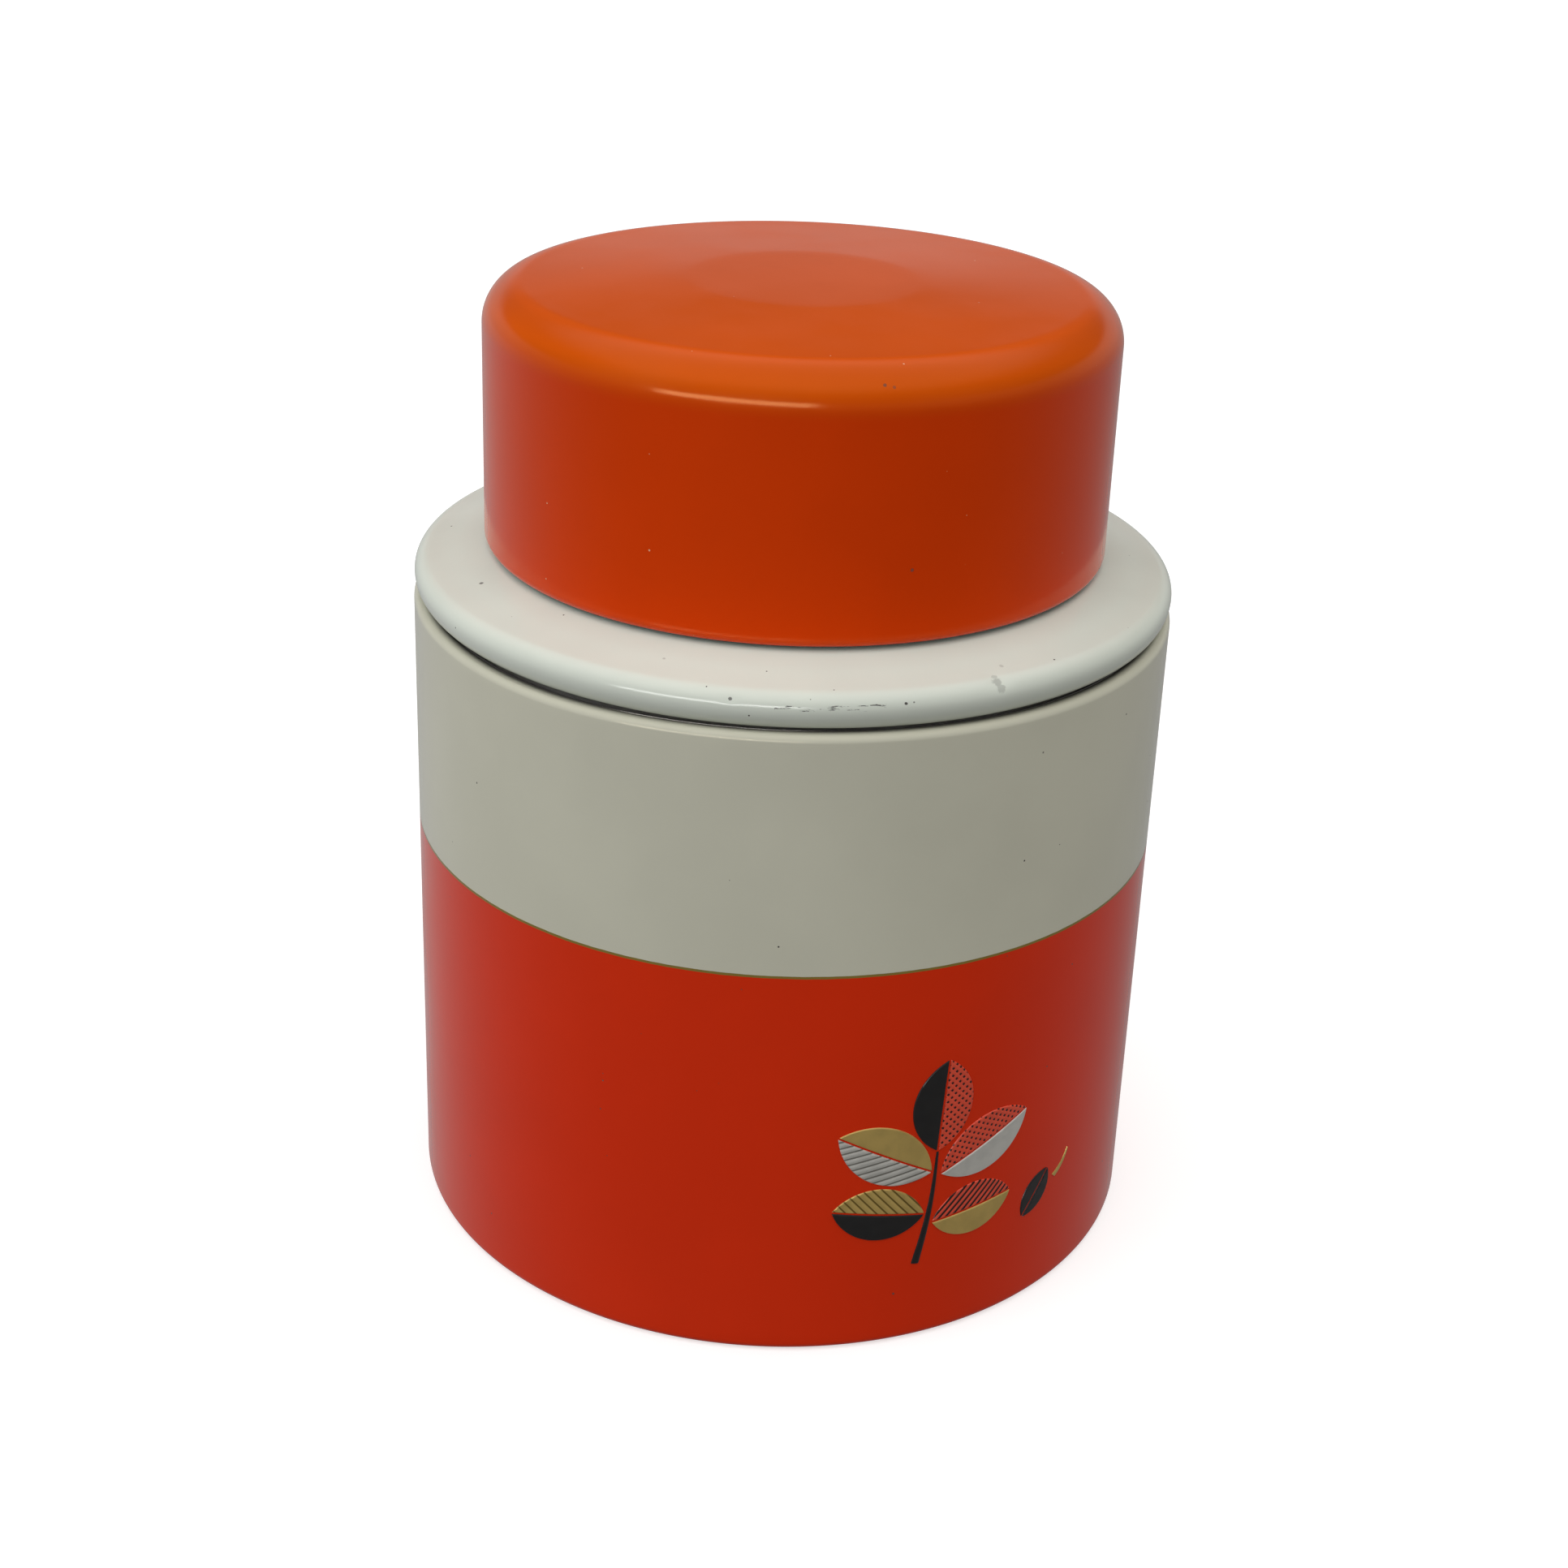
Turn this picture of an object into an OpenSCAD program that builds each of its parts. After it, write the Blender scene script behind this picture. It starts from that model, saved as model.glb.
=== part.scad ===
// Round necked tinplate storage tin: a straight body, a lift-off shoulder lid with a neck,
// a pressed inner lid with a knob, and a deep slip cap over the neck.
// Millimetres, +Z up, origin at the middle of the bottom.

/* [Body] */
// Outer radius of the body
body_r = 50; // [40:0.5:60]
// Height of the rounded top edge of the body
body_top = 86.55; // [75:0.05:110]
// Outer radius of the rolled top edge
top_roll = 1.6; // [1.2:0.1:2.2]
// Outer radius of the rolled bottom edge
bottom_roll = 1.1; // [1.0:0.1:1.4]
// Width of the flat ring that the tin stands on
foot_flat = 1; // [0.6:0.1:2]
// Height of the base panel above the table
base_rise = 2.4; // [2.4:0.1:5]
// Depth of the guide ring inside the mouth
guide_depth = 16; // [10:1:24]

/* [Shoulder lid] */
// Gap between the body's top edge and the shoulder
shoulder_gap = 0.3; // [0.2:0.05:0.8]
// Largest radius of the shoulder bead
bead_r = 49.85; // [39:0.05:60]
// Height of the widest line of the bead above the body's top edge
bead_rise = 2.8; // [2.4:0.1:4]
// Radius of the bead above its widest line
bead_upper = 2.25; // [1.5:0.05:3]
// Radius of the bead below its widest line
bead_lower = 2.9; // [2.4:0.1:3.4]
// Fall of the shoulder towards the bead, in degrees
shoulder_slope = 11; // [4:1:14]
// Length of the skirt that plugs into the body
plug_depth = 14; // [8:1:20]
// Radial clearance of each lift-off fit
slip = 0.27; // [0.15:0.01:0.4]

/* [Neck and inner lid] */
// Outer radius of the neck
neck_r = 38.9; // [30:0.1:40]
// Height of the neck's mouth
neck_top = 118.6; // [105:0.1:122]
// Outer radius of the rolled mouth
mouth_roll = 0.8; // [0.7:0.1:1.2]
// Depth of the inner lid's pan
pan_depth = 8.6; // [6:0.1:12]
// Gap between the inner lid's rim and the mouth
rim_gap = 0.3; // [0.2:0.05:0.5]
// Width across the knob
knob_w = 17; // [12:0.5:24]

/* [Cap] */
// Outer radius of the cap
cap_r = 40.76; // [36:0.01:48]
// Height of the flat disc in the middle of the cap
cap_top = 127.8; // [124:0.1:140]
// Height of the cap's rim
cap_rim = 93.5; // [93.3:0.05:95]
// Radius of the cap's rounded top edge
cap_edge = 5.35; // [3:0.05:6]
// Radius of the flat disc in the middle of the cap
disc_r = 14.9; // [8:0.1:24]
// Fall of the cap's top outside the disc, in degrees
cap_slope = 1.6; // [0:0.1:3]
// Radius of the cap's rolled rim
rim_roll = 1.14; // [0.9:0.02:1.3]
// Height of the hem that is turned up inside the rim
hem_height = 3.2; // [2:0.1:6]
// Thickness of the card liner
liner_t = 1.2; // [0.8:0.1:2]

/* [Sheet] */
// Thickness of the lacquered sheet
sheet = 0.4; // [0.3:0.02:0.4]
// Clearance between pieces that are seamed together
seam_fit = 0.02; // [0.02:0.01:0.05]

/* [Hidden] */

facets = 128;
arc_steps = 12;
orange = "#c8441a";
cream = "#cfd1c2";
tin = "#b9bcc0";
aluminium = "#c9cbcd";
card = "#b89c72";

// Seams at the two ends of the body
nest = sheet + seam_fit;
foot_r = body_r - bottom_roll;
foot_in = foot_r - foot_flat;
leg_top = bottom_roll + 1;
roll_c = body_r - top_roll;
roll_z = body_top - top_roll;
roll_end = 125;
lip_start = 60;
guide_r = roll_c - top_roll + nest;
base_bead_r = 32;
base_bead = 1.5;

// Shoulder lid
bead_z = body_top + bead_rise;
upper_c = bead_r - bead_upper;
lower_c = bead_r - bead_lower;
shoulder_bottom = body_top + shoulder_gap;
fold = 0.6;
// Angle at which the lower bead arc meets the fold that turns it flat
tuck = asin((bead_z - shoulder_bottom - fold) / (bead_lower - fold));
fold_c = lower_c + (bead_lower - fold) * cos(tuck);
plug_r = guide_r - slip;
plug_top = shoulder_bottom + nest;
hem_in = plug_r + 0.3;
flange_end = fold_c - 0.1;

// Neck and inner lid
neck_hole = neck_r + 0.05;
neck_flange = neck_r + 4;
mouth_c = neck_r - mouth_roll;
mouth_z = neck_top - mouth_roll;
pan_r = neck_r - 2 * mouth_roll - slip;
pan_corner = 1.6;
rim_r = neck_r - 0.4;
rim_z = neck_top + rim_gap;
floor_z = rim_z - pan_depth;
rivet_r = 1.2;
rivet_hole = rivet_r + 0.1;
rivet_head = 2.4;
head_h = 1;
washer_r = 4;
washer_t = 0.6;
knob_z = floor_z + sheet;
knob_h = 7.6;
knob_disc = 2.6;
knob_edge = 0.8;
knob_waist = 8;
knob_foot = 11;
foot_h = 1.4;

// Cap
edge_c = cap_r - cap_edge;
cap_fall = (edge_c + cap_edge * sin(cap_slope) - disc_r) * tan(cap_slope);
edge_z = cap_top - cap_fall - cap_edge * cos(cap_slope);
rim_c = cap_r - rim_roll;
hem_roll = rim_c - neck_r - slip;
liner_z = cap_top - cap_fall - nest - liner_t;

// Points of an arc round (r, z), from angle a0 to angle a1.
function arc(r, z, radius, a0, a1) =
  [for (i = [0:arc_steps]) let (a = a0 + (a1 - a0) * i / arc_steps)
    [r + radius * cos(a), z + radius * sin(a)]];

// Height of the shoulder's upper face at radius r.
function shoulder_z(r) =
  bead_z + bead_upper / cos(shoulder_slope) + (upper_c - r) * tan(shoulder_slope);

// Each pressed piece is one line in the half plane (radius, height), seen at depth d
// behind its first face: d = 0 gives that face and d = sheet the face behind it.

function body_line(d) = concat(
  [[foot_in - bottom_roll + d, leg_top]],
  arc(foot_in, bottom_roll, bottom_roll - d, 180, 270),
  arc(foot_r, bottom_roll, bottom_roll - d, 270, 360),
  arc(roll_c, roll_z, top_roll - d, 0, roll_end));

function base_line(d) =
  let (hook = bottom_roll - nest, bead = base_bead - sheet + d, a = asin(d / bead))
  concat(
    arc(foot_r, bottom_roll, hook - d, 0, -90),
    arc(foot_in, bottom_roll, hook - d, -90, -180),
    [[foot_in - hook + d, base_rise + d]],
    arc(base_bead_r, base_rise, bead, a, 180 - a),
    [[0, base_rise + d]]);

function guide_line(d) = concat(
  arc(roll_c, roll_z, top_roll - nest - d, lip_start, 180),
  [[guide_r + d, body_top - guide_depth]]);

function shoulder_line(d) = concat(
  [[neck_hole, shoulder_z(neck_hole) - d / cos(shoulder_slope)]],
  arc(upper_c, bead_z, bead_upper - d, 90 - shoulder_slope, 0),
  arc(lower_c, bead_z, bead_lower - d, 0, -tuck),
  arc(fold_c, shoulder_bottom + fold, fold - d, -tuck, -90),
  [[hem_in, shoulder_bottom + d]]);

function skirt_line(d) =
  [[flange_end, plug_top + d], [plug_r - d, plug_top + d], [plug_r - d, body_top - plug_depth]];

function neck_line(d) = concat(
  [for (r = [neck_flange, neck_r - d]) [r, shoulder_z(r) - (nest + d) / cos(shoulder_slope)]],
  arc(mouth_c, mouth_z, mouth_roll - d, 0, 180));

function lid_line(d) = concat(
  [[rim_r, rim_z + d], [pan_r - d, rim_z + d]],
  arc(pan_r - pan_corner, floor_z + pan_corner, pan_corner - d, 0, -90),
  [[rivet_hole, floor_z + d]]);

function cap_line(d) = concat(
  [[0, cap_top - d], [disc_r, cap_top - d]],
  arc(edge_c, edge_z, cap_edge - d, 90 - cap_slope, 0),
  arc(rim_c, cap_rim + rim_roll, rim_roll - d, 0, -90),
  arc(rim_c, cap_rim + hem_roll, hem_roll - d, -90, -180),
  [[rim_c - hem_roll + d, cap_rim + hem_height]]);

// Sheet between the two faces of a line, turned round the Z axis.
module pressing(face, back) {
  rotate_extrude($fn = facets)
    polygon(concat(face, [for (i = [len(back) - 1:-1:0]) back[i]]));
}

// Solid of revolution from radius r0 to r1 and from height z0 to z1.
module disc(r0, r1, z0, z1) {
  rotate_extrude($fn = facets) translate([r0, z0]) square([r1 - r0, z1 - z0]);
}

// Straight wall with its top edge rolled in and its bottom edge hemmed under.
module body_shell() {
  color(orange) pressing(body_line(0), body_line(sheet));
}

// Countersunk base with a pressed bead, its flange hooked in the body's bottom hem.
module base_disc() {
  color(tin) pressing(base_line(0), base_line(sheet));
}

// Ring that guides the plug, its lip caught under the body's rolled edge.
module guide_ring() {
  color(tin) pressing(guide_line(0), guide_line(sheet));
}

// Stamped shoulder: sloping top, full bead, and an edge tucked flat under it.
module shoulder_ring() {
  color(cream) pressing(shoulder_line(0), shoulder_line(sheet));
}

// Skirt that plugs into the body, its flange held on the shoulder's tucked edge.
module plug_skirt() {
  color(tin) pressing(skirt_line(0), skirt_line(sheet));
}

// Neck with a flange under the shoulder and a mouth rolled inwards.
module neck_collar() {
  color(tin) pressing(neck_line(0), neck_line(sheet));
}

// Pressed plug lid: a pan with a flat rim that sits on the neck's mouth.
module inner_lid() {
  color(tin) pressing(lid_line(0), lid_line(sheet));
}

// Turned knob: a rounded disc on a waisted stem, with a countersunk hole for the rivet.
module inner_lid_knob() {
  top = knob_z + knob_h;
  round_r = knob_w / 2 - knob_edge;
  round_z = top - knob_disc + knob_edge;
  color(aluminium) rotate_extrude($fn = facets)
    polygon(concat(
      [[rivet_hole, knob_z], [knob_foot / 2, knob_z], [knob_foot / 2, knob_z + foot_h],
       [knob_waist / 2, knob_z + foot_h], [knob_waist / 2, top - knob_disc]],
      arc(round_r, round_z, knob_edge, -90, 0),
      arc(round_r, top - knob_edge, knob_edge, 0, 90),
      [[rivet_head + 0.1, top], [rivet_head + 0.1, top - head_h], [rivet_hole, top - head_h]]));
}

// Rivet through the knob, the lid and the washer.
module knob_rivet() {
  top = knob_z + knob_h;
  bottom = floor_z - washer_t - head_h;
  color(tin) {
    disc(0, rivet_head, bottom, bottom + head_h);
    disc(0, rivet_r, bottom, top);
    disc(0, rivet_head, top - head_h, top);
  }
}

// Washer under the inner lid.
module rivet_washer() {
  color(tin) disc(rivet_hole, washer_r, floor_z - washer_t, floor_z);
}

// Deep-drawn cap: flat disc, falling top, rounded edge, and a hem turned up inside the rim.
module cap_shell() {
  color(orange) pressing(cap_line(0), cap_line(sheet));
}

// Card disc stuck to the underside of the cap's top.
module cap_liner() {
  color(card) disc(0, edge_c, liner_z, liner_z + liner_t);
}

body_shell();
base_disc();
guide_ring();
shoulder_ring();
plug_skirt();
neck_collar();
inner_lid();
inner_lid_knob();
knob_rivet();
rivet_washer();
cap_shell();
cap_liner();
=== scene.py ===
"""Round necked tinplate tin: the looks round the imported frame, in metres, +Z up, front towards -Y.

Shapes are worked out in millimetres, as the tin was drawn, and become metres in put_mesh().
"""
import math

import bmesh
import bpy
import numpy as np
from mathutils import Matrix, Vector


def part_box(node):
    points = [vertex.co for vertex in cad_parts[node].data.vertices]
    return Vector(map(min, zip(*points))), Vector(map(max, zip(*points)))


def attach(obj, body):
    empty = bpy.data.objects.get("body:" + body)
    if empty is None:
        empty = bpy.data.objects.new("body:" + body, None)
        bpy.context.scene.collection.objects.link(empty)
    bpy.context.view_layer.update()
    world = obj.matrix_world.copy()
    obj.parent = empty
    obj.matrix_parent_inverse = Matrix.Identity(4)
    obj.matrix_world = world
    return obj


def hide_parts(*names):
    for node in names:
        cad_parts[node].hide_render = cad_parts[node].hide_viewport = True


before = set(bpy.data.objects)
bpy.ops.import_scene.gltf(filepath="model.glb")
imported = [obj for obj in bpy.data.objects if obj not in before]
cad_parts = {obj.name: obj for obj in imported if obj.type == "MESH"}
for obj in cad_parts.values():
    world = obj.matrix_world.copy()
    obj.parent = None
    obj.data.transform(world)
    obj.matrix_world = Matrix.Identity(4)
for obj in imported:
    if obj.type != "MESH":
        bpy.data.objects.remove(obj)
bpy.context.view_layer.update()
MM = 0.001


def reach(node):
    """Largest radius, lowest and highest height of a CAD node, in millimetres."""
    low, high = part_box(node)
    return high.x / MM, low.z / MM, high.z / MM


# ---------------------------------------------------------------- driving dimensions, millimetres
# Sheet thickness, and the depth of a nested sheet's face behind the outer face of the sheet round it.
SHEET = 0.4
NEST = 0.42
# Largest radii and heights of the pieces, from the frame.
BODY_R, _, BODY_TOP = reach("body_shell")
BEAD_R, SHOULDER_LOW, SHOULDER_TOP = reach("shoulder_ring")
CAP_R, CAP_RIM, CAP_TOP = reach("cap_shell")
_, GUIDE_LOW, _ = reach("guide_ring")
SKIRT_TIP, SKIRT_LOW, SKIRT_TOP = reach("plug_skirt")
FLANGE_R, _, NECK_TOP = reach("neck_collar")
NECK_R = FLANGE_R - 4
RIM_R, FLOOR_Z, RIM_TOP = reach("inner_lid")
KNOB_R, KNOB_LOW, KNOB_TOP = reach("inner_lid_knob")
RIVET_R, RIVET_LOW, RIVET_TOP = reach("knob_rivet")
RIVET_HOLE = RIVET_R - 1.1
WASHER_R, WASHER_LOW, WASHER_TOP = reach("rivet_washer")
LINER_R, LINER_LOW, LINER_TOP = reach("cap_liner")
_, _, BASE_TOP = reach("base_disc")

# Radii of rolls, beads, folds and corners, and slopes. CROWN is the crisper front of the body's rolled top.
TOP_ROLL = 1.6
CROWN = 0.9
BOTTOM_ROLL = 1.1
FOOT_FLAT = 1.0
BEAD_UPPER = 2.25
BEAD_LOWER = 2.9
BEAD_Z = BODY_TOP + 2.8
SHOULDER_FALL = math.radians(11)
FOLD = 0.6
MOUTH_ROLL = 0.8
PAN_CORNER = 1.6
CAP_EDGE = 5.35
CAP_FALL = math.radians(1.6)
RIM_ROLL = 1.14
DISC_R = 14.9
# Play all round between two pieces that slide, and heights of the printed line and of the motif's middle.
SLIP = 0.27
BAND_Z = 54.85
MOTIF_Z = 26.3
# Knocks on the bead: azimuth and lean of the spot in degrees, width and depth in mm.
BEAD_KNOCKS = ((5.0, 55, 1.3, 0.2), (-32.5, 30, 0.5, 0.12))
# Chips and dots in the paint: azimuth in degrees, radius, height and size in mm, and depth of tone.
SHOULDER_CHIPS = ((-32.5, 49.5, 90.5, 0.32, 0.8), (-9.0, 49.7, 90.2, 0.26, 1), (-7.9, 49.7, 90.3, 0.18, 0.8),
                  (5.0, 48.9, 91.2, 0.9, 0.35), (5.2, 49.5, 90.5, 0.8, 0.3), (5.0, 48.2, 91.5, 0.6, 0.25),
                  (-87.4, 43.8, 92.4, 0.4, 0.8), (-44.0, 44.5, 92.1, 0.35, 0.3), (7.5, 46.5, 91.8, 0.4, 0.25))
BODY_CHIPS = ((-5.6, 50.0, 7.5, 0.22, 0.9), (13.0, 50.0, 81.0, 0.2, 0.8))
CAP_CHIPS = ((-11.0, 39.6, 125.0, 0.35, 0.7), (-9.4, 39.8, 124.8, 0.3, 0.5), (-5.0, 40.76, 103.0, 0.3, 0.7))

TURN = 2 * math.pi


def evenly(count):
    """Turns of that many even columns, from the back all round."""
    return np.arange(count) * TURN / count - math.pi


EVEN = evenly(480)
SMALL = evenly(160)


# ---------------------------------------------------------------- lines in the half plane (r, z)
def arc(r, z, radius, start, end, steps=10):
    """Points (r + radius cos a, z + radius sin a) for a from start to end, in degrees."""
    a = np.radians(np.linspace(start, end, steps + 1))
    return np.stack([r + radius * np.cos(a), z + radius * np.sin(a)], -1)


def straight(start, end, steps=1):
    """Evenly spaced points from start to end, both included."""
    t = np.linspace(0, 1, steps + 1)[:, None]
    return np.array(start) * (1 - t) + np.array(end) * t


def run(line):
    """Distance along a line from its first point to each of its points."""
    return np.concatenate([[0], np.cumsum(np.hypot(*np.diff(line, axis=0).T))])


def body_line(d):
    """Wall with a hemmed foot and a rolled top, at depth d behind its outer face."""
    foot = BODY_R - BOTTOM_ROLL
    inner = foot - FOOT_FLAT
    return np.concatenate([
        straight((inner - BOTTOM_ROLL + d, BOTTOM_ROLL + 1), (inner - BOTTOM_ROLL + d, BOTTOM_ROLL + 0.1)),
        arc(inner, BOTTOM_ROLL, BOTTOM_ROLL - d, 180, 270),
        arc(foot, BOTTOM_ROLL, BOTTOM_ROLL - d, 270, 360),
        straight((BODY_R - d, BOTTOM_ROLL + 1), (BODY_R - d, BODY_TOP - CROWN - 0.4), 60),
        arc(BODY_R - CROWN, BODY_TOP - CROWN, CROWN - d, 0, 90, 12),
        arc(BODY_R - TOP_ROLL, BODY_TOP - TOP_ROLL, TOP_ROLL - d, 90, 125, 5)])


def base_line(d):
    """Panel with two raised beads, and the hook in the foot's hem, at depth d above the lower face."""
    foot = BODY_R - BOTTOM_ROLL
    inner = foot - FOOT_FLAT
    hook = BOTTOM_ROLL - NEST
    panel = BASE_TOP - 1.5
    line = [[(0, panel + d)]]
    for bead_r, rise in ((14.0, 0.9), (32.0, 1.5)):
        bead = rise - SHEET + d
        edge = math.degrees(math.asin(d / bead))
        line.append(arc(bead_r, panel, bead, 180 - edge, edge, 16))
    return np.concatenate(line + [
        arc(inner - hook - 0.5, panel - 0.5, 0.5 + d, 90, 0, 5),
        arc(inner, BOTTOM_ROLL, hook - d, -180, -90),
        arc(foot, BOTTOM_ROLL, hook - d, -90, 0)])


def guide_line(d):
    """Ring in the mouth, its lip under the body's roll, at depth d behind its inner face."""
    lip = TOP_ROLL - NEST
    roll = BODY_R - TOP_ROLL
    return np.concatenate([
        arc(roll, BODY_TOP - TOP_ROLL, lip - d, 60, 180, 14),
        straight((roll - lip + d, BODY_TOP - TOP_ROLL - 0.4), (roll - lip + d, GUIDE_LOW), 6)])


def shoulder_height(r):
    """Height of the shoulder's sloping upper face at radius r."""
    middle = BEAD_R - BEAD_UPPER
    return BEAD_Z + BEAD_UPPER / math.cos(SHOULDER_FALL) + (middle - r) * math.tan(SHOULDER_FALL)


def shoulder_line(d):
    """Sloping top, full bead and tucked edge, at depth d behind the outer face."""
    fall = math.degrees(SHOULDER_FALL)
    middle = BEAD_R - BEAD_LOWER
    tuck = math.degrees(math.asin((BEAD_Z - SHOULDER_LOW - FOLD) / (BEAD_LOWER - FOLD)))
    fold = middle + (BEAD_LOWER - FOLD) * math.cos(math.radians(tuck))
    top = BEAD_R - BEAD_UPPER + BEAD_UPPER * math.sin(SHOULDER_FALL)
    hole, tucked = 38.95, 47.27
    drop = d / math.cos(SHOULDER_FALL)
    return np.concatenate([
        straight((hole, shoulder_height(hole) - drop), (top - 0.4, shoulder_height(top - 0.4) - drop), 12),
        arc(BEAD_R - BEAD_UPPER, BEAD_Z, BEAD_UPPER - d, 90 - fall, 0, 22),
        arc(middle, BEAD_Z, BEAD_LOWER - d, 0, -tuck, 16)[1:],
        arc(fold, SHOULDER_LOW + FOLD, FOLD - d, -tuck, -90, 6)[1:],
        [(tucked, SHOULDER_LOW + d)]])


def skirt_line(d):
    """Plug skirt and its flange, at depth d behind the outer face."""
    outer = BODY_R - 2 * TOP_ROLL + NEST - SLIP
    flange = SKIRT_TOP - SHEET
    return np.concatenate([
        [(SKIRT_TIP, flange + d)],
        arc(outer + 0.5, flange - 0.5, 0.5 + d, 90, 180, 6),
        straight((outer - d, flange - 1), (outer - d, SKIRT_LOW + 1), 6),
        [(outer - 0.15 - d, SKIRT_LOW)]])


def neck_line(d):
    """Neck flange under the shoulder, straight wall and rolled mouth, at depth d behind the outer face."""
    outer = NECK_R
    under = (NEST + d) / math.cos(SHOULDER_FALL)
    return np.concatenate([
        straight((FLANGE_R, shoulder_height(FLANGE_R) - under),
                 (outer - d, shoulder_height(outer - d) - under), 4),
        straight((outer - d, SHOULDER_TOP + 0.5), (outer - d, NECK_TOP - MOUTH_ROLL - 0.3), 16),
        arc(outer - MOUTH_ROLL, NECK_TOP - MOUTH_ROLL, MOUTH_ROLL - d, 0, 180, 18)])


def lid_line(d):
    """Inner lid's rim, plug wall and pan with a pressed step, at depth d above the lower face."""
    outer = NECK_R - 2 * MOUTH_ROLL - SLIP
    rim = RIM_TOP - SHEET
    step, slope = 0.55, 0.7
    outside, inside = 27.6, 17.6
    return np.concatenate([
        [(RIM_R, rim + d)],
        arc(outer + 0.45, rim - 0.45, 0.45 + d, 90, 180, 6),
        straight((outer - d, rim - 1), (outer - d, FLOOR_Z + PAN_CORNER + 0.2), 4),
        arc(outer - PAN_CORNER, FLOOR_Z + PAN_CORNER, PAN_CORNER - d, 0, -90, 8),
        straight((30, FLOOR_Z + d), (outside, FLOOR_Z + d), 2),
        straight((outside - slope, FLOOR_Z + step + d), (inside + slope, FLOOR_Z + step + d), 4),
        straight((inside, FLOOR_Z + d), (RIVET_HOLE, FLOOR_Z + d), 4)])


def cap_line(d):
    """Flat disc, falling top, rounded edge, wall, rolled rim and hem, at depth d behind the outer face."""
    middle = CAP_R - CAP_EDGE
    fall = (middle + CAP_EDGE * math.sin(CAP_FALL) - DISC_R) * math.tan(CAP_FALL)
    edge_z = CAP_TOP - fall - CAP_EDGE * math.cos(CAP_FALL)
    rim = CAP_R - RIM_ROLL
    hem = rim - NECK_R - SLIP
    hem_top = CAP_RIM + 3.2
    crease = 0.35
    return np.concatenate([
        straight((0, CAP_TOP - d), (DISC_R - crease, CAP_TOP - d), 8),
        straight((DISC_R + crease, CAP_TOP - d - crease * math.tan(CAP_FALL)),
                 (middle - 0.4, CAP_TOP - fall + 0.4 * math.tan(CAP_FALL) - d), 12),
        arc(middle, edge_z, CAP_EDGE - d, 90 - math.degrees(CAP_FALL), 0, 30),
        straight((CAP_R - d, edge_z - 0.6), (CAP_R - d, CAP_RIM + RIM_ROLL + 0.4), 20),
        arc(rim, CAP_RIM + RIM_ROLL, RIM_ROLL - d, 0, -90, 10),
        arc(rim, CAP_RIM + hem, hem - d, -90, -180, 6)[1:],
        straight((rim - hem + d, CAP_RIM + hem + 0.3), (rim - hem + d, hem_top), 3)])


def knob_outline():
    """Closed outline of the turned knob: foot, waist swept by a cosine, grooved disc, rivet hole."""
    t = np.linspace(0, 1, 15)[1:-1]
    waist_r = 4 + 0.9 * (1 + np.cos(TURN * t)) / 2
    seat = RIVET_R + 0.1
    disc = KNOB_R - 0.8
    waist = np.stack([waist_r, KNOB_LOW + 1.4 + (KNOB_TOP - KNOB_LOW - 4) * t], -1)
    grooves = [[(r + 0.25, KNOB_TOP), (r, KNOB_TOP - 0.15), (r - 0.25, KNOB_TOP)] for r in (6.6, 5.6, 4.6)]
    return np.concatenate([
        [(RIVET_HOLE, KNOB_LOW), (5.2, KNOB_LOW)],
        arc(5.2, KNOB_LOW + 0.3, 0.3, -90, 0, 4),
        arc(5.1, KNOB_LOW + 1.0, 0.4, 0, 90, 4),
        waist,
        arc(disc, KNOB_TOP - 1.8, 0.8, -90, 0, 8),
        arc(disc, KNOB_TOP - 0.8, 0.8, 0, 90, 8),
        np.concatenate(grooves),
        [(seat, KNOB_TOP), (seat, KNOB_TOP - 1), (RIVET_HOLE, KNOB_TOP - 1)]])


def rivet_outline():
    """Open outline from pole to pole: domed tail head, shank, and a flush head with a rounded edge."""
    shank = RIVET_R / 2
    dome = np.linspace(0, 1, 9)[1:]
    tail = np.stack([RIVET_R * dome, RIVET_LOW + 0.45 * dome ** 2], -1)
    return np.concatenate([
        [(0, RIVET_LOW)],
        tail,
        [(RIVET_R, RIVET_LOW + 1), (shank, RIVET_LOW + 1), (shank, RIVET_TOP - 1), (RIVET_R, RIVET_TOP - 1)],
        arc(RIVET_R - 0.3, RIVET_TOP - 0.3, 0.3, 0, 90, 5),
        [(0, RIVET_TOP - 0.05)]])


def washer_outline():
    """Closed outline of the washer, its edges rounded at 0.15 mm."""
    edge = 0.15
    corners = ((WASHER_R - edge, WASHER_LOW + edge, -90), (WASHER_R - edge, WASHER_TOP - edge, 0),
               (RIVET_HOLE + edge, WASHER_TOP - edge, 90), (RIVET_HOLE + edge, WASHER_LOW + edge, 180))
    return np.concatenate([arc(r, z, edge, start, start + 90, 4) for r, z, start in corners])


def liner_outline():
    """Open outline of the card from pole to pole, with a ring pressed 0.25 mm into its lower face."""
    edge = 0.3
    r = np.linspace(0, LINER_R - 0.5, 60)
    ring = NECK_R - 3.2
    lower = LINER_LOW + 0.25 * np.exp(-((r - ring) / 0.7) ** 2)
    return np.concatenate([
        np.stack([r, lower], -1),
        arc(LINER_R - edge, LINER_LOW + edge, edge, -90, 0, 5),
        arc(LINER_R - edge, LINER_TOP - edge, edge, 0, 90, 5),
        straight((LINER_R - 1, LINER_TOP), (0, LINER_TOP), 4)])


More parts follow.
